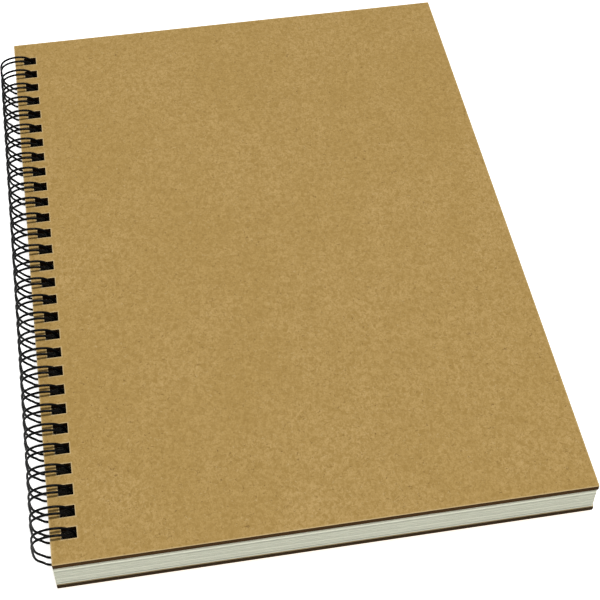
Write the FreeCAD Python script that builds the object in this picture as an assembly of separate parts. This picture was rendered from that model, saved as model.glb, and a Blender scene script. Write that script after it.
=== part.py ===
import FreeCAD, Part
import math
import os

# Twin-loop wire-bound sketchbook, closed and lying on its back cover.
# Millimetres. +Y runs along the spine to the head, +X from the spine to the fore edge, +Z up.
# The origin is at the middle of the footprint, on the plane the loops rest on.

V = FreeCAD.Vector

# --- driving dimensions -------------------------------------------------------------------
COVER_W = 185.0            # spine edge to fore edge
COVER_L = 260.0            # tail edge to head edge
FACING_T = 0.2             # kraft paper on each side of a cover
BOARD_T = 1.8              # core board
LEAF_COUNT = 60
LEAF_T = 0.175
LEAF_AIR = 0.003           # air between two leaves
LEAF_INSET = 0.5           # leaves stop short of the covers at the fore edge
LEAF_END_INSET = 0.25      # and at the head and the tail
LEAVES_PER_NODE = 5

LOOP_COUNT = 29
LOOP_PITCH = 25.4 / 3.0    # three holes to the inch
WIRE_R = 0.45
PAIR_GAP = 2.8             # centre to centre of the two wires in one hole
RING_R = 8.3               # centre line of the round part of a loop
SPINE_GAP = 0.1            # spine edges of covers and leaves to the ring centre
BELLY_R = 15.0             # gentler curve from the ring's side down through the back cover
BELLY_END = 0.3            # that curve ends this far below the back cover
FLANK_ANGLE = 225.0        # where the round part leaves the ring on the outside
FLANK_R = 3.4              # curve from the flank into the seam
SEAM_DROP = 1.25           # seam centre line below the back cover
BASE_BEND_R = 1.2          # corner of a base bend, between two pairs of loops

HOLE_NEAR = 3.85           # spine edge to the near side of a hole
HOLE_W = 5.1               # across the spine
HOLE_L = 4.3               # along the spine
PANEL_START = 10.0         # spine edge to the start of the unpunched panel

# --- derived positions --------------------------------------------------------------------
COVER_T = 2 * FACING_T + BOARD_T
LEAF_STEP = LEAF_T + LEAF_AIR
STACK_T = LEAF_COUNT * LEAF_STEP + LEAF_AIR
AXIS_H = COVER_T + (STACK_T + COVER_T) / 2    # middle of all that turns on the ring
AXIS_X = (RING_R + WIRE_R - SPINE_GAP - COVER_W) / 2
SPINE_X = AXIS_X + SPINE_GAP
BACK_Z = SEAM_DROP + WIRE_R
AXIS_Z = BACK_Z + AXIS_H
BELLY_DROP = AXIS_H + BELLY_END
SEAM_Z = WIRE_R
HALF_PAIR = PAIR_GAP / 2


def loop_y(index):
    """Centre of one pair of loops along the spine."""
    return (index - (LOOP_COUNT - 1) / 2) * LOOP_PITCH


def rectangle(x0, x1, y0, y1, z):
    """Closed rectangular wire, level, at height z."""
    corners = [V(x0, y0, z), V(x1, y0, z), V(x1, y1, z), V(x0, y1, z), V(x0, y0, z)]
    return Part.makePolygon(corners)


def hole_outlines(z):
    """Outlines of all the punched holes."""
    x0 = SPINE_X + HOLE_NEAR
    x1 = x0 + HOLE_W
    outlines = []
    for index in range(LOOP_COUNT):
        y = loop_y(index)
        outlines.append(rectangle(x0, x1, y - HOLE_L / 2, y + HOLE_L / 2, z))
    return outlines


def punched_sheet(width, length, thickness, z):
    """Sheet with its spine edge at SPINE_X and its row of holes, standing on height z."""
    outline = rectangle(SPINE_X, SPINE_X + width, -length / 2, length / 2, z)
    face = Part.makeFace([outline] + hole_outlines(z), "Part::FaceMakerBullseye")
    return face.extrude(V(0, 0, thickness))


def panelled_sheet(thickness, z):
    """Cover paper whose punched strip and plain panel are two faces of one solid."""
    strip = punched_sheet(PANEL_START, COVER_L, thickness, z)
    corner = V(SPINE_X + PANEL_START, -COVER_L / 2, z)
    panel = Part.makeBox(COVER_W - PANEL_START, COVER_L, thickness, corner)
    return strip.fuse(panel)


def cover(z, outer_below):
    """Core board with kraft paper on both sides. Returns (facing, board, lining)."""
    low = punched_sheet(COVER_W, COVER_L, FACING_T, z)
    board = punched_sheet(COVER_W, COVER_L, BOARD_T, z + FACING_T)
    high = punched_sheet(COVER_W, COVER_L, FACING_T, z + FACING_T + BOARD_T)
    if outer_below:
        return panelled_sheet(FACING_T, z), board, high
    return high, board, low


def leaf(number):
    """One drawing leaf. Number 0 lies on the back cover."""
    z = BACK_Z + COVER_T + LEAF_AIR + number * LEAF_STEP
    length = COVER_L - 2 * LEAF_END_INSET
    return punched_sheet(COVER_W - LEAF_INSET, length, LEAF_T, z)


def leaf_group(first, count):
    """Several leaves as separate solids of one node."""
    return Part.makeCompound([leaf(first + step) for step in range(count)])


def upright_arc(centre_x, centre_z, radius, start, end, y):
    """Arc in the plane across the spine, angles in degrees from +X towards +Z."""
    points = []
    for angle in (start, (start + end) / 2, end):
        turn = math.radians(angle)
        x = centre_x + radius * math.cos(turn)
        z = centre_z + radius * math.sin(turn)
        points.append(V(x, y, z))
    return Part.Arc(points[0], points[1], points[2]).toShape()


def strand(y):
    """One loop from its base end, round the outside and down through the holes.

    Returns its edges, the x of its base end and the x of its tip end.
    """
    flank = math.radians(FLANK_ANGLE)
    flank_x = AXIS_X + RING_R * math.cos(flank)
    flank_z = AXIS_Z + RING_R * math.sin(flank)
    bend_z = SEAM_Z + FLANK_R
    joint_z = bend_z + FLANK_R * math.sin(flank)
    joint_x = flank_x + (flank_z - joint_z)
    base_x = joint_x - FLANK_R * math.cos(flank)

    belly_x = AXIS_X + RING_R - BELLY_R
    belly_end = -math.asin(BELLY_DROP / BELLY_R)
    low_x = belly_x + BELLY_R * math.cos(belly_end)
    low_z = AXIS_Z - BELLY_DROP
    curl_r = (low_z - SEAM_Z) / (1 + math.sin(belly_end))
    tip_x = low_x - curl_r * math.cos(belly_end)
    curl_z = low_z - curl_r * math.sin(belly_end)

    low_angle = math.degrees(belly_end)
    edges = [
        upright_arc(base_x, bend_z, FLANK_R, 270.0, FLANK_ANGLE, y),
        Part.makeLine(V(joint_x, y, joint_z), V(flank_x, y, flank_z)),
        upright_arc(AXIS_X, AXIS_Z, RING_R, FLANK_ANGLE, 0.0, y),
        upright_arc(belly_x, AXIS_Z, BELLY_R, 0.0, low_angle, y),
        upright_arc(tip_x, curl_z, curl_r, low_angle, -90.0, y),
    ]
    return edges, base_x, tip_x


def tip_bend(x, y):
    """Narrow bend that joins the two wires of a pair at their tips."""
    ends = V(x, y - HALF_PAIR, SEAM_Z), V(x, y + HALF_PAIR, SEAM_Z)
    return Part.Arc(ends[0], V(x - HALF_PAIR, y, SEAM_Z), ends[1]).toShape()


def base_bend(x, y0, y1):
    """Wide bend that joins one pair of loops to the next."""
    inner = BASE_BEND_R * (1 - math.sqrt(0.5))
    reach = BASE_BEND_R * math.sqrt(0.5)
    far_x = x + BASE_BEND_R
    first = V(far_x, y0 + BASE_BEND_R, SEAM_Z)
    last = V(far_x, y1 - BASE_BEND_R, SEAM_Z)
    return [
        Part.Arc(V(x, y0, SEAM_Z), V(x + reach, y0 + inner, SEAM_Z), first).toShape(),
        Part.makeLine(first, last),
        Part.Arc(last, V(x + reach, y1 - inner, SEAM_Z), V(x, y1, SEAM_Z)).toShape(),
    ]


def twin_loop_wire():
    """The whole binding as one length of round wire."""
    path = []
    for index in range(LOOP_COUNT):
        y = loop_y(index)
        outward, base_x, tip_x = strand(y - HALF_PAIR)
        homeward = strand(y + HALF_PAIR)[0]
        path += outward + [tip_bend(tip_x, y)] + homeward[::-1]
        if index < LOOP_COUNT - 1:
            path += base_bend(base_x, y + HALF_PAIR, loop_y(index + 1) - HALF_PAIR)
    start = V(base_x, loop_y(0) - HALF_PAIR, SEAM_Z)
    section = Part.Wire([Part.makeCircle(WIRE_R, start, V(1, 0, 0))])
    return Part.Wire(path).makePipeShell([section], True, False)


def build():
    """Every node of the sketchbook, by name."""
    nodes = {"twin_loop_wire": twin_loop_wire()}
    parts = cover(BACK_Z, True)
    nodes["back_facing"], nodes["back_board"], nodes["back_lining"] = parts
    parts = cover(BACK_Z + COVER_T + STACK_T, False)
    nodes["front_facing"], nodes["front_board"], nodes["front_lining"] = parts
    bound = LEAF_COUNT - 1
    for group, first in enumerate(range(0, bound, LEAVES_PER_NODE)):
        count = min(LEAVES_PER_NODE, bound - first)
        nodes["leaves_%02d" % (group + 1)] = leaf_group(first, count)
    nodes["first_leaf"] = leaf(bound)
    return nodes


os.makedirs("parts", exist_ok=True)
for name, shape in build().items():
    shape.exportStep("parts/" + name + ".step")
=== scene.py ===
import math
import random

import bmesh
import bpy
from mathutils import Matrix, Vector, noise


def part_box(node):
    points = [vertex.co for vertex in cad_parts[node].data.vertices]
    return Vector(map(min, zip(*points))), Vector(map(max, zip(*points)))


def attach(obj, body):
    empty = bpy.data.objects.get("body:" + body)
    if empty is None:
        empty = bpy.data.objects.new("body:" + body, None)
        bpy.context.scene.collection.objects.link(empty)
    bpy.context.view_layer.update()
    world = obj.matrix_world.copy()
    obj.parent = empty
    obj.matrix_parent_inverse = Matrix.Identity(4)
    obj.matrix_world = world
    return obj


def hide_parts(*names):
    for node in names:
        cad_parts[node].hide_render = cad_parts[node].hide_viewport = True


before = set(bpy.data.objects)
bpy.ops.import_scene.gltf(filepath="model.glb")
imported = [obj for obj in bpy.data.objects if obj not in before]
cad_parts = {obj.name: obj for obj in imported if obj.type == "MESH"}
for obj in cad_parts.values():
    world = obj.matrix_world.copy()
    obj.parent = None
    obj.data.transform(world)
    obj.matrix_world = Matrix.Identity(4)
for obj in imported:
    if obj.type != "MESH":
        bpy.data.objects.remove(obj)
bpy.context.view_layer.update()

MM = 0.001

# --- the book's dimensions, in millimetres and degrees ------------------------------------
LOOP_COUNT = 29
LOOP_PITCH = 25.4 / 3       # three holes to the inch
HOLE_NEAR, HOLE_W, HOLE_L = 3.85, 5.1, 4.3
CORNER_R = 0.35             # upright corners of a cover's outline
FACING_RIM, INNER_RIM = 0.07, 0.05      # softened rims of the outer paper, and of the layers inside

LEAF_COUNT, LOWER_COUNT = 60, 30        # all the leaves, and those that turn as the lower group
LEAVES_PER_NODE = 5
LEAF_NODES = ["leaves_%02d" % n for n in range(1, 13)]
LEAF_T, LEAF_STEP = 0.175, 0.178
LEAF_THINNING = 0.012       # a leaf is drawn this much thinner, which frees air for wider gaps
TOP_AIR = 0.01              # air kept between the first leaf and the front cover
LEAF_WAVE = 0.002           # how far a leaf bows up or down
WAVE_SCALE, WAVE_SHIFT = 0.03, 0.37     # how tight the bows are, and their shift from leaf to leaf
LEAF_COLUMNS = 14           # faces of a leaf between its holes and the fore edge
NARROW_GAP, WIDE_GAP = (0.15, 0.5), (3.0, 5.5)      # relative gap under any leaf, and what some add
WIDE_EVERY, WIDE_AT = 8, 5              # which leaves have a wide gap under them
SLIDE_KEPT, SLIDE = 0.75, 0.07          # share of the slide of the leaf below, and a leaf's own
END_SHIFT, FORE_SHIFT = 0.04, 0.1       # most that one leaf alone is shifted, along and across
BAND_EVERY, BAND_AT, BAND_WIDTH = 10, 6, 1.2        # bands of darker leaves
LEAF_SEED = 29

WIRE_R, PAIR_GAP, RING_R = 0.45, 2.8, 8.3
SPINE_GAP = 0.1             # middle of the ring to the spine edges
BELLY_R, BELLY_END = 15.0, 0.3
FLANK_ANGLE, FLANK_R = 225.0, 3.4
BASE_BEND_R = 1.2
OUTSIDE_SQUEEZE = 0.23      # share by which the outer side of a loop is drawn in
TOP_LEAN = 1.5              # how far the top of a loop leans over the front cover
LEAN_ANGLE, LEAN_SPREAD = 70.0, 40.0    # where round the loop it leans most, and how far that runs
LOOP_TILT = 0.07            # most that a loop tilts along the spine
LOOP_SPREAD = (-0.05, 0.06)     # how far a wire of a pair may stand away from the other one
ARC_STEP = 5.0              # degrees between the points of an upright arc
TIP_STEPS, BASE_STEPS = 10, 5           # steps in a bend at the tips and in a base corner
WIRE_SIDES = 14
WIRE_SEED = 7

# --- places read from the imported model, in millimetres ------------------------------------
cover_low, cover_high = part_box("front_board")
SPINE_X, FORE_X = cover_low.x / MM, cover_high.x / MM
TAIL_Y, HEAD_Y = cover_low.y / MM, cover_high.y / MM
BACK_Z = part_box("back_facing")[0].z / MM
RING_X = SPINE_X - SPINE_GAP
RING_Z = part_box("twin_loop_wire")[1].z / MM - WIRE_R - RING_R
SEAM_Z = WIRE_R
HOLE_X0 = SPINE_X + HOLE_NEAR
HOLE_X1 = HOLE_X0 + HOLE_W


def loop_y(index):
    """Middle of one pair of loops along the spine."""
    return (index - (LOOP_COUNT - 1) / 2) * LOOP_PITCH


# --- node helpers -------------------------------------------------------------------------
def add(tree, kind, values=None, **props):
    """New node. values maps an input to a socket to link or a value to set."""
    n = tree.nodes.new(kind)
    for key, value in props.items():
        setattr(n, key, value)
    for key, value in (values or {}).items():
        if isinstance(value, bpy.types.NodeSocket):
            tree.links.new(value, n.inputs[key])
        else:
            n.inputs[key].default_value = value
    return n


def blank(name):
    """Material with a Principled shader. Returns (material, tree, shader, place in millimetres)."""
    mat = bpy.data.materials.new(name)
    mat.use_nodes = True
    tree = mat.node_tree
    shader = tree.nodes["Principled BSDF"]
    place = add(tree, "ShaderNodeTexCoord").outputs["Object"]
    mm = add(tree, "ShaderNodeVectorMath", {0: place, 1: (1 / MM,) * 3}, operation="MULTIPLY")
    return mat, tree, shader, mm.outputs[0]


def attribute(tree, name):
    """A value stored on the mesh by this script."""
    return add(tree, "ShaderNodeAttribute", attribute_name=name).outputs["Fac"]


def stretch(tree, mm, scale, turn=0.0):
    """Coordinates turned in the plane of the sheet and stretched."""
    values = {"Vector": mm, "Scale": scale, "Rotation": (0, 0, turn)}
    return add(tree, "ShaderNodeMapping", values, vector_type="POINT").outputs[0]


def cloud(tree, place, scale, detail, rough=0.5, distortion=0.0):
    """Noise value. The scale is in features per millimetre."""
    values = {"Vector": place, "Scale": scale, "Detail": detail, "Roughness": rough,
              "Distortion": distortion}
    return add(tree, "ShaderNodeTexNoise", values).outputs["Fac"]


def ramp(tree, value, start, end, low=0.0, high=1.0):
    """Smooth step from low at start to high at end."""
    values = {"Value": value, "From Min": start, "From Max": end, "To Min": low, "To Max": high}
    return add(tree, "ShaderNodeMapRange", values, interpolation_type="SMOOTHSTEP").outputs[0]


def mix(tree, factor, a, b):
    """Colour a at factor 0, colour b at factor 1."""
    return add(tree, "ShaderNodeMix", {0: factor, 6: a, 7: b}, data_type="RGBA").outputs[2]


def maths(tree, how, a, b=0.0):
    return add(tree, "ShaderNodeMath", {0: a, 1: b}, operation=how).outputs[0]


def away(tree, value, middle):
    """Distance of a value from a middle."""
    return maths(tree, "ABSOLUTE", maths(tree, "SUBTRACT", value, middle))


def bump(tree, height, distance, strength, normal=None):
    values = {"Height": height, "Distance": distance, "Strength": strength}
    if normal is not None:
        values["Normal"] = normal
    return add(tree, "ShaderNodeBump", values).outputs[0]


def rgb(r, g, b):
    return (r, g, b, 1.0)


# --- materials ----------------------------------------------------------------------------
KRAFT_STRETCH = (1.0, 0.8, 1.0)     # draws the kraft pattern out a little along the spine
RIM_HIGHLIGHT_SPAN = (-0.05, 0.22)            # painted highlight from full to none, millimetres in from an edge
RIM_RAGGED = 0.55                   # most that the painted highlight's inner edge moves in or out
SHEEN = 0.25                        # specular level of paper
DULL_SHEEN = 0.08                   # and of raw board and coated wire


def rim_highlight(tree, mm):
    """Painted highlight mask: 1 on the outline of a cover and round its punched holes, falling to 0
    a little inside.
    """
    axes = add(tree, "ShaderNodeSeparateXYZ", {0: mm})
    x, y = axes.outputs[0], axes.outputs[1]
    across = away(tree, x, (SPINE_X + FORE_X) / 2)
    along = away(tree, y, 0.0)
    inside = maths(tree, "MINIMUM", maths(tree, "SUBTRACT", (FORE_X - SPINE_X) / 2, across),
                   maths(tree, "SUBTRACT", HEAD_Y, along))

    # y in pitches, moved by whole pitches to stay positive: a hole's middle has the fraction 0.5
    pitches = maths(tree, "ADD", maths(tree, "DIVIDE", y, LOOP_PITCH), 100.5)
    turn = maths(tree, "FRACT", pitches)
    from_row = maths(tree, "MULTIPLY", away(tree, turn, 0.5), LOOP_PITCH)
    from_line = away(tree, x, HOLE_X0 + HOLE_W / 2)
    from_hole = maths(tree, "MAXIMUM", maths(tree, "SUBTRACT", from_row, HOLE_L / 2),
                      maths(tree, "SUBTRACT", from_line, HOLE_W / 2))

    # beyond the last holes the distance is raised, so that the row ends there
    row_end = LOOP_COUNT / 2 * LOOP_PITCH
    past_row = ramp(tree, along, row_end - 0.5, row_end, 0.0, 9.0)
    edge = maths(tree, "MINIMUM", inside, maths(tree, "ADD", from_hole, past_row))
    ragged = maths(tree, "MULTIPLY", cloud(tree, mm, 1.1, 3.0, 0.7), RIM_RAGGED)
    return ramp(tree, maths(tree, "SUBTRACT", edge, ragged), *RIM_HIGHLIGHT_SPAN, 1.0, 0.0)


def kraft(name, base, light, dark, fleck, raw_edge, raw_dark_and_hole_shade):
    """Brown kraft paper: faint mottling, fibres lying all ways, pale and dark flecks, a painted
    highlight along its rims and painted shade on its hole walls.
    """
    mat, tree, shader, mm = blank(name)
    cut = attribute(tree, "cut_edge")
    hole_shade = attribute(tree, "hole_wall_shade")
    rims = rim_highlight(tree, mm)
    mm = stretch(tree, mm, KRAFT_STRETCH)

    slow = cloud(tree, mm, 0.035, 3.0, 0.6)
    mottle = cloud(tree, mm, 0.22, 4.0, 0.62, 0.4)
    colour = mix(tree, ramp(tree, slow, 0.3, 0.7, 0.0, 0.85), base, light)
    colour = mix(tree, ramp(tree, mottle, 0.35, 0.7, 0.0, 0.5), colour, dark)

    fibres = None
    for turn, seed in ((0.25, 0.0), (-0.5, 37.0), (1.2, 81.0)):
        lying = stretch(tree, mm, (0.45, 2.2, 1.0), turn)
        moved = add(tree, "ShaderNodeVectorMath", {0: lying, 1: (seed, seed, 0)})
        strand = cloud(tree, moved.outputs[0], 1.0, 3.0, 0.7, 0.5)
        fibres = strand if fibres is None else maths(tree, "ADD", fibres, strand)
    fibres = maths(tree, "DIVIDE", fibres, 3.0)
    colour = mix(tree, ramp(tree, fibres, 0.46, 0.64, 0.0, 0.7), colour, light)

    curds = cloud(tree, mm, 0.65, 3.0, 0.65, 0.8)
    colour = mix(tree, ramp(tree, curds, 0.42, 0.66, 0.0, 0.95), colour, dark)
    grain = cloud(tree, mm, 1.7, 2.0, 0.65)
    colour = mix(tree, ramp(tree, grain, 0.4, 0.7, 0.0, 0.78), colour, dark)
    pale = ramp(tree, cloud(tree, mm, 1.15, 2.0, 0.6, 1.2), 0.62, 0.72, 0.0, 0.4)
    colour = mix(tree, pale, colour, fleck)
    specks = cloud(tree, stretch(tree, mm, (0.8, 1.2, 1)), 0.9, 2.0, 0.7, 1.5)
    speck_tone = rgb(dark[0] * 0.55, dark[1] * 0.5, dark[2] * 0.45)
    colour = mix(tree, ramp(tree, specks, 0.62, 0.71, 0.0, 0.8), colour, speck_tone)

    # pale rims along the outline and round the holes: a painted highlight
    colour = mix(tree, maths(tree, "MULTIPLY", rims, 0.75), colour, fleck)
    raw = mix(tree, ramp(tree, curds, 0.35, 0.7), raw_edge, raw_dark_and_hole_shade)
    colour = mix(tree, cut, colour, raw)
    # hole walls take the dark raw tone as painted shade
    colour = mix(tree, hole_shade, colour, raw_dark_and_hole_shade)
    tree.links.new(colour, shader.inputs["Base Color"])
    tree.links.new(ramp(tree, fibres, 0.35, 0.65, 0.78, 0.95), shader.inputs["Roughness"])
    shader.inputs["Specular IOR Level"].default_value = SHEEN
    felt = bump(tree, fibres, 0.00016, 0.5)
    felt = bump(tree, grain, 0.0001, 0.6, felt)
    tree.links.new(bump(tree, mottle, 0.0004, 0.2, felt), shader.inputs["Normal"])
    return mat


def board_edge(name, base, dark, pale):
    """Raw cut edge of pressed board: thin layers, torn fibres, rubbed spots."""
    mat, tree, shader, mm = blank(name)
    layers = cloud(tree, stretch(tree, mm, (0.05, 0.05, 6.0)), 1.0, 3.0, 0.6)
    colour = mix(tree, ramp(tree, layers, 0.35, 0.7), base, dark)
    torn = cloud(tree, stretch(tree, mm, (0.9, 0.9, 3.0)), 1.0, 4.0, 0.7, 0.6)
    colour = mix(tree, ramp(tree, torn, 0.58, 0.74, 0.0, 0.6), colour, pale)
    tree.links.new(colour, shader.inputs["Base Color"])
    tree.links.new(ramp(tree, torn, 0.3, 0.7, 0.8, 0.97), shader.inputs["Roughness"])
    shader.inputs["Specular IOR Level"].default_value = DULL_SHEEN
    rough = bump(tree, torn, 0.00025, 0.7)
    tree.links.new(bump(tree, layers, 0.0001, 0.6, rough), shader.inputs["Normal"])
    return mat


def drawing_paper(name, face, edge, shade, inside):
    """Off-white drawing paper with a fine tooth; its cut edges differ a little leaf by leaf; the
    walls of its holes carry painted shade.
    """
    mat, tree, shader, mm = blank(name)
    tint = attribute(tree, "leaf_tint")
    cut = attribute(tree, "cut_edge")
    hole_shade = attribute(tree, "hole_wall_shade")
    pulp = cloud(tree, mm, 0.5, 4.0, 0.65)
    deeper = rgb(*(c * 0.965 for c in face[:3]))
    plain = mix(tree, ramp(tree, pulp, 0.35, 0.7, 0.0, 0.5), face, deeper)
    streak = cloud(tree, stretch(tree, mm, (0.018, 0.018, 9.0)), 1.0, 3.0, 0.65)
    lines = maths(tree, "ADD", maths(tree, "MULTIPLY", tint, 0.6),
                  maths(tree, "MULTIPLY", streak, 0.4))
    side = mix(tree, ramp(tree, lines, 0.25, 0.8), edge, shade)
    colour = mix(tree, cut, plain, side)
    # hole walls take the near-black inside tone as painted shade
    tree.links.new(mix(tree, hole_shade, colour, inside), shader.inputs["Base Color"])
    tooth = cloud(tree, mm, 2.4, 3.0, 0.75)
    tree.links.new(ramp(tree, tooth, 0.3, 0.7, 0.82, 0.95), shader.inputs["Roughness"])
    shader.inputs["Specular IOR Level"].default_value = SHEEN
    fine = bump(tree, tooth, 0.00005, 0.5)
    tree.links.new(bump(tree, pulp, 0.0003, 0.2, fine), shader.inputs["Normal"])
    return mat


def coated_wire(name):
    """Black nylon-coated wire: soft gloss, fine orange peel, a few rubbed places."""
    mat, tree, shader, mm = blank(name)
    peel = cloud(tree, mm, 2.2, 3.0, 0.6)
    rub = ramp(tree, cloud(tree, mm, 0.35, 4.0, 0.7, 0.8), 0.58, 0.72)
    coat = ramp(tree, peel, 0.3, 0.7)
    colour = mix(tree, coat, rgb(0.003, 0.003, 0.0032), rgb(0.006, 0.006, 0.0064))
    colour = mix(tree, rub, colour, rgb(0.012, 0.012, 0.0125))
    tree.links.new(colour, shader.inputs["Base Color"])
    tree.links.new(ramp(tree, rub, 0.0, 1.0, 0.3, 0.46), shader.inputs["Roughness"])
    shader.inputs["Specular IOR Level"].default_value = DULL_SHEEN
    tree.links.new(bump(tree, peel, 0.00003, 0.6), shader.inputs["Normal"])
    return mat


# base, light, dark and fleck tones of the kraft papers
FACING_TONES = (rgb(0.51, 0.33, 0.105), rgb(0.585, 0.39, 0.148), rgb(0.41, 0.255, 0.07),
                rgb(0.68, 0.51, 0.255))
LINING_TONES = (rgb(0.49, 0.315, 0.11), rgb(0.56, 0.375, 0.15), rgb(0.41, 0.255, 0.08),
                rgb(0.65, 0.49, 0.26))
# base, dark and pale tones of each cover's board; the back's are darker, as painted shade for the
# less light its edge gets down by the floor
BOARD_TONES = {
    "front": (rgb(0.060, 0.026, 0.0035), rgb(0.032, 0.014, 0.002), rgb(0.12, 0.06, 0.015)),
    "back": (rgb(0.038, 0.021, 0.006), rgb(0.022, 0.012, 0.004), rgb(0.075, 0.045, 0.015)),
}
# the last tone is painted shade for the walls of the holes
PAPER = drawing_paper("drawing_paper", rgb(0.80, 0.785, 0.70), rgb(0.70, 0.71, 0.58),
                      rgb(0.50, 0.52, 0.41), rgb(0.10, 0.10, 0.085))
WIRE = coated_wire("black_wire")


# --- sheets -------------------------------------------------------------------------------
NEAR_HOLE = 0.2         # a wall this near a hole belongs to it
END_MARGIN = 1.0        # but not within this of the head or the tail
UPRIGHT = 0.7           # a face is a wall while the z of its normal is under this


def spread(start, end, count):
    """Even steps from start to end, without the first."""
    return [start + (end - start) * k / count for k in range(1, count + 1)]


def punched(bm, x0, x1, y0, y1, z0, z1, columns, lift=None):
    """Adds a punched sheet to bm, in millimetres. lift(x, y) raises a point of it."""
    xs = [x0, HOLE_X0, HOLE_X1] + spread(HOLE_X1, x1, columns)
    ys = [y0]
    for index in range(LOOP_COUNT):
        ys += [loop_y(index) - HOLE_L / 2, loop_y(index) + HOLE_L / 2]
    ys.append(y1)
    points = {}

    def point(i, j, side):
        key = i, j, side
        if key not in points:
            rise = lift(xs[i], ys[j]) if lift else 0.0
            z = (z0, z1)[side] + rise
            points[key] = bm.verts.new((xs[i] * MM, ys[j] * MM, z * MM))
        return points[key]

    def solid(i, j):
        inside = 0 <= i < len(xs) - 1 and 0 <= j < len(ys) - 1
        return inside and not (i == 1 and j % 2 == 1)

    for i in range(len(xs) - 1):
        for j in range(len(ys) - 1):
            if not solid(i, j):
                continue
            ring = [(i, j), (i + 1, j), (i + 1, j + 1), (i, j + 1)]
            bm.faces.new([point(a, b, 1) for a, b in ring])
            bm.faces.new([point(a, b, 0) for a, b in reversed(ring)])
            beside = [(i, j - 1), (i + 1, j), (i, j + 1), (i - 1, j)]
            for k in range(4):
                if not solid(*beside[k]):
                    a, b = ring[k], ring[(k + 1) % 4]
                    bm.faces.new([point(*a, 0), point(*b, 0), point(*b, 1), point(*a, 1)])


def mark_cuts(bm):
    """Face layers: 1 on the cut outline of a sheet, 1 on the walls of its holes, where the
    materials paint shade.
    """
    cut = bm.faces.layers.float.new("cut_edge")
    hole_shade = bm.faces.layers.float.new("hole_wall_shade")
    bm.normal_update()
    for f in bm.faces:
        middle = f.calc_center_median() / MM
        in_strip = HOLE_X0 - NEAR_HOLE < middle.x < HOLE_X1 + NEAR_HOLE
        by_hole = in_strip and TAIL_Y + END_MARGIN < middle.y < HEAD_Y - END_MARGIN
        upright = abs(f.normal.z) < UPRIGHT
        f[cut] = 1.0 if upright and not by_hole else 0.0
        f[hole_shade] = 1.0 if upright and by_hole else 0.0


def finished(bm, name, mat, body, node):
    """Turns bm into an object that rides on a body and stands for a CAD node."""
    bm.normal_update()
    mesh = bpy.data.meshes.new(name)
    bm.to_mesh(mesh)
    bm.free()
    mesh.materials.append(mat)
    piece = bpy.data.objects.new(name, mesh)
    bpy.context.scene.collection.objects.link(piece)
    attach(piece, body)
    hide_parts(node)


def soften(bm, rim):
    """Rounds the four upright outline corners, then every rim."""
    outline = (SPINE_X * MM, FORE_X * MM), (TAIL_Y * MM, HEAD_Y * MM)

    def at_corner(v):
        return all(min(abs(c - e) for e in ends) < 1e-7 for c, ends in zip(v.co, outline))

    def is_rim(e):
        slopes = [abs(f.normal.z) for f in e.link_faces]
        return len(slopes) == 2 and sum(slopes) < 1.5 and max(slopes) > 0.5

    upright = [e for e in bm.edges if all(at_corner(v) for v in e.verts)]
    bmesh.ops.bevel(bm, geom=upright, offset=CORNER_R * MM, segments=3, profile=0.5,
                    affect="EDGES")
    bm.normal_update()
    rims = [e for e in bm.edges if is_rim(e)]
    bmesh.ops.bevel(bm, geom=rims, offset=rim * MM, segments=2, profile=0.6, affect="EDGES")


def cover_layer(node, mat, body, rim):
    """One layer of a cover in its CAD node's place, with softened rims."""
    a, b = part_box(node)
    bm = bmesh.new()
    punched(bm, a.x / MM, b.x / MM, a.y / MM, b.y / MM, a.z / MM, b.z / MM, 1)
    soften(bm, rim)
    mark_cuts(bm)
    finished(bm, node + "_skin", mat, body, node)


for side, body in (("back", "bound_back"), ("front", "front_cover")):
    edge, edge_dark, edge_pale = BOARD_TONES[side]
    facing = kraft("kraft_paper_" + side, *FACING_TONES, edge_pale, edge)
    lining = kraft("kraft_lining_" + side, *LINING_TONES, edge, edge_dark)
    board = board_edge("brown_board_" + side, edge, edge_dark, edge_pale)
    cover_layer(side + "_facing", facing, body, FACING_RIM)
    cover_layer(side + "_board", board, body, INNER_RIM)
    cover_layer(side + "_lining", lining, body, INNER_RIM)


# --- leaves -------------------------------------------------------------------------------
def leaf_places(count, floor_z, rng):
    """Height, thickness and small shifts of each leaf. Air gathers in a few wider gaps."""
    thin = LEAF_T - LEAF_THINNING
    room = count * (LEAF_STEP - thin) - TOP_AIR
    shares = []
    for k in range(count):
        shares.append(rng.uniform(*NARROW_GAP))
        if k % WIDE_EVERY == WIDE_AT:
            shares[-1] += rng.uniform(*WIDE_GAP)
    total = sum(shares)
    z = floor_z
    slide = 0.0
    places = []
    for k, share in enumerate(shares):
        z += room * share / total
        slide = SLIDE_KEPT * slide + rng.uniform(-SLIDE, SLIDE)
        along = slide + rng.uniform(-END_SHIFT, END_SHIFT)
        across = rng.uniform(-FORE_SHIFT, FORE_SHIFT)
        band = math.exp(-((k % BAND_EVERY - BAND_AT) / BAND_WIDTH) ** 2)
        tint = 0.5 * rng.random() + 0.9 * band
        places.append({"z": z, "t": thin, "dy": along, "dx": across, "tint": tint})
        z += thin
    return places


def leaf_body(number):
    """The moving body that a leaf rides on. Number 0 lies on the back cover."""
    if number == LEAF_COUNT - 1:
        return "first_leaf"
    return "lower_leaves" if number < LOWER_COUNT else "upper_leaves"


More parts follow.
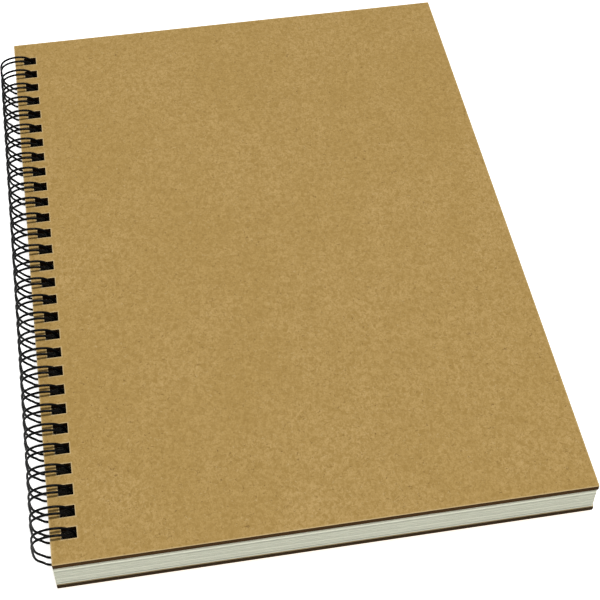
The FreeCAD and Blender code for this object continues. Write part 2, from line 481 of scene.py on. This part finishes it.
def leaf_piece(node, places, first):
    """The leaves of one CAD node, each a thin sheet of its own."""
    a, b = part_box(node)
    bm = bmesh.new()
    tint = bm.verts.layers.float.new("leaf_tint")
    for step, leaf in enumerate(places):
        start = len(bm.verts)
        phase = (first + step) * WAVE_SHIFT

        def lift(x, y):
            return LEAF_WAVE * noise.noise(Vector((x * WAVE_SCALE, y * WAVE_SCALE, phase)))

        y0, y1 = a.y / MM + leaf["dy"], b.y / MM + leaf["dy"]
        z0, z1 = leaf["z"], leaf["z"] + leaf["t"]
        punched(bm, a.x / MM, b.x / MM + leaf["dx"], y0, y1, z0, z1, LEAF_COLUMNS, lift)
        bm.verts.ensure_lookup_table()
        for v in bm.verts[start:]:
            v[tint] = leaf["tint"]
    mark_cuts(bm)
    finished(bm, node + "_sheets", PAPER, leaf_body(first), node)


stack_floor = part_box(LEAF_NODES[0])[0].z / MM
stack = leaf_places(LEAF_COUNT, stack_floor, random.Random(LEAF_SEED))
bound, first_leaf = stack[:-1], stack[-1:]
for number, node in enumerate(LEAF_NODES):
    first = number * LEAVES_PER_NODE
    leaf_piece(node, bound[first:first + LEAVES_PER_NODE], first)
leaf_piece("first_leaf", first_leaf, len(bound))


# --- binding wire -------------------------------------------------------------------------
def arc(cx, cz, radius, start, end):
    """Points of an upright arc, without its first one."""
    count = max(3, int(abs(end - start) / ARC_STEP))
    turns = [math.radians(angle) for angle in spread(start, end, count)]
    return [(cx + radius * math.cos(t), cz + radius * math.sin(t)) for t in turns]


def level_arc(cx, cy, radius, start, end, count):
    """Points of an arc in the seam's plane, without its two ends."""
    turns = [math.radians(angle) for angle in spread(start, end, count)[:-1]]
    return [Vector((cx + radius * math.cos(t), cy + radius * math.sin(t), SEAM_Z)) for t in turns]


def settled(x, z):
    """Draws the outer side of a loop in and leans its top over the front cover."""
    turn = math.degrees(math.atan2(z - RING_Z, x - RING_X))
    lean = TOP_LEAN * math.exp(-((turn - LEAN_ANGLE) / LEAN_SPREAD) ** 2)
    out = max(RING_X - x, 0.0)
    return x + out * OUTSIDE_SQUEEZE * (out / RING_R) ** 3 + lean, z


def strand_profile():
    """(x, z) points of one loop from its base end to its tip end."""
    flank = math.radians(FLANK_ANGLE)
    flank_x = RING_X + RING_R * math.cos(flank)
    flank_z = RING_Z + RING_R * math.sin(flank)
    bend_z = SEAM_Z + FLANK_R
    joint_z = bend_z + FLANK_R * math.sin(flank)
    base_x = flank_x + (flank_z - joint_z) - FLANK_R * math.cos(flank)

    drop = RING_Z - BACK_Z + BELLY_END
    end = -math.asin(drop / BELLY_R)
    belly_x = RING_X + RING_R - BELLY_R
    low_x, low_z = belly_x + BELLY_R * math.cos(end), RING_Z - drop
    curl_r = (low_z - SEAM_Z) / (1 + math.sin(end))
    tip_x, curl_z = low_x - curl_r * math.cos(end), low_z - curl_r * math.sin(end)

    points = [(base_x, SEAM_Z)]
    points += arc(base_x, bend_z, FLANK_R, 270, FLANK_ANGLE)
    points.append((flank_x, flank_z))
    points += arc(RING_X, RING_Z, RING_R, FLANK_ANGLE, 0)
    points += arc(belly_x, RING_Z, BELLY_R, 0, math.degrees(end))
    points += arc(tip_x, curl_z, curl_r, math.degrees(end), -90)
    return [settled(x, z) for x, z in points]


def wire_path(rng):
    """Centre line of the whole wire. Loops tilt and spread a little differently."""
    profile = strand_profile()
    base_x, tip_x = profile[0][0], profile[-1][0]
    half = PAIR_GAP / 2
    path = []
    for index in range(LOOP_COUNT):
        y = loop_y(index)
        for sign in (-1, 1):
            tilt, widen = rng.uniform(-LOOP_TILT, LOOP_TILT), rng.uniform(*LOOP_SPREAD)
            strand = []
            for k, (x, z) in enumerate(profile):
                share = math.sin(math.pi * k / (len(profile) - 1))
                side = sign * (half + widen * share) + tilt * share
                strand.append(Vector((x, y + side, z)))
            path += strand if sign < 0 else strand[::-1]
            if sign < 0:
                path += level_arc(tip_x, y, half, 270, 90, TIP_STEPS)
        if index < LOOP_COUNT - 1:
            y0, y1 = y + half + BASE_BEND_R, loop_y(index + 1) - half - BASE_BEND_R
            far_x = base_x + BASE_BEND_R
            path += level_arc(base_x, y0, BASE_BEND_R, 270, 360, BASE_STEPS)
            path += [Vector((far_x, y0, SEAM_Z)), Vector((far_x, y1, SEAM_Z))]
            path += level_arc(base_x, y1, BASE_BEND_R, 0, 90, BASE_STEPS)
    return path


def tube(path, radius, sides):
    """Closed round tube along a path, with flat ends."""
    bm = bmesh.new()
    tangent = (path[1] - path[0]).normalized()
    normal = tangent.orthogonal().normalized()
    rings = []
    for k, centre in enumerate(path):
        ahead, behind = path[min(k + 1, len(path) - 1)], path[max(k - 1, 0)]
        new = (ahead - behind).normalized()
        normal = tangent.rotation_difference(new) @ normal
        tangent = new
        normal = (normal - tangent * normal.dot(tangent)).normalized()
        across = tangent.cross(normal)
        ring = []
        for s in range(sides):
            turn = 2 * math.pi * s / sides
            place = centre + radius * (math.cos(turn) * normal + math.sin(turn) * across)
            ring.append(bm.verts.new(place * MM))
        rings.append(ring)
    for one, two in zip(rings, rings[1:]):
        for s in range(sides):
            t = (s + 1) % sides
            bm.faces.new((one[s], one[t], two[t], two[s]))
    bm.faces.new(rings[0][::-1])
    bm.faces.new(rings[-1])
    for f in bm.faces:
        f.smooth = True
    bmesh.ops.recalc_face_normals(bm, faces=bm.faces)
    return bm


binding = tube(wire_path(random.Random(WIRE_SEED)), WIRE_R, WIRE_SIDES)
finished(binding, "twin_loop_wire_coated", WIRE, "bound_back", "twin_loop_wire")


# --- floor, light and camera --------------------------------------------------------------
FLOOR_SIZE = 12.0           # half the floor's side, in metres
FLOOR_GLOW = 0.8            # keeps the floor near white, with next to no shadow under the book
AMBIENT = 0.32              # light from all round
SUN_ENERGY, SUN_PLACE, SUN_SOFTNESS = 1.93, (0.16, 0.22, 1.0), math.radians(1.0)
FILL_ENERGY, FILL_PLACE, FILL_SIZE = 0.8, (-0.25, -1.1, 0.3), 0.8
SENSOR_WIDTH, LENS = 36.0, 88.6194
CAMERA_PLACE = (-52.137, -380.140, 441.225)     # millimetres: beyond the tail, left of the middle
CAMERA_TURN, CAMERA_TILT, CAMERA_ROLL = -0.1783, 0.6942, 0.0105     # radians, from straight down


def lit_floor():
    """Plain pale floor on which the book stands."""
    bm = bmesh.new()
    bmesh.ops.create_grid(bm, x_segments=1, y_segments=1, size=FLOOR_SIZE)
    mesh = bpy.data.meshes.new("floor")
    bm.to_mesh(mesh)
    bm.free()
    mat, tree, shader, mm = blank("floor")
    tone = ramp(tree, cloud(tree, mm, 0.004, 2.0), 0.3, 0.7)
    colour = mix(tree, tone, rgb(0.90, 0.90, 0.90), rgb(0.92, 0.92, 0.92))
    tree.links.new(colour, shader.inputs["Base Color"])
    shader.inputs["Roughness"].default_value = 0.9
    shader.inputs["Emission Color"].default_value = rgb(1, 1, 1)
    shader.inputs["Emission Strength"].default_value = FLOOR_GLOW
    mesh.materials.append(mat)
    floor = bpy.data.objects.new("floor", mesh)
    bpy.context.scene.collection.objects.link(floor)


def studio_world():
    """Soft light from all round. The bare background itself looks as white as the floor."""
    world = bpy.data.worlds.new("studio")
    world.use_nodes = True
    tree = world.node_tree
    direct = add(tree, "ShaderNodeLightPath").outputs["Is Camera Ray"]
    values = {"Value": direct, "To Min": AMBIENT, "To Max": 1.0}
    strength = add(tree, "ShaderNodeMapRange", values).outputs[0]
    tree.links.new(strength, tree.nodes["Background"].inputs["Strength"])
    tree.nodes["Background"].inputs["Color"].default_value = rgb(1.0, 1.0, 1.0)
    bpy.context.scene.world = world


def lamp(name, kind, energy, place, **props):
    """A lamp that shines at the book from its place, in metres."""
    data = bpy.data.lights.new(name, kind)
    data.energy = energy
    for key, value in props.items():
        setattr(data, key, value)
    light = bpy.data.objects.new(name, data)
    light.location = place
    light.rotation_euler = (-Vector(place)).to_track_quat("-Z", "Y").to_euler()
    bpy.context.scene.collection.objects.link(light)


def set_camera():
    """The scene's camera, looking down at the book from beyond its tail."""
    data = bpy.data.cameras.new("camera")
    data.sensor_width = SENSOR_WIDTH
    data.lens = LENS
    camera = bpy.data.objects.new("camera", data)
    camera.matrix_world = (Matrix.Translation(Vector(CAMERA_PLACE) * MM)
                           @ Matrix.Rotation(CAMERA_TURN, 4, "Z")
                           @ Matrix.Rotation(CAMERA_TILT, 4, "X")
                           @ Matrix.Rotation(CAMERA_ROLL, 4, "Z"))
    bpy.context.scene.collection.objects.link(camera)
    bpy.context.scene.camera = camera


lit_floor()
studio_world()
lamp("key", "SUN", SUN_ENERGY, SUN_PLACE, angle=SUN_SOFTNESS)
lamp("front_fill", "AREA", FILL_ENERGY, FILL_PLACE, shape="DISK", size=FILL_SIZE)
set_camera()
bpy.context.scene.view_settings.view_transform = "Standard"
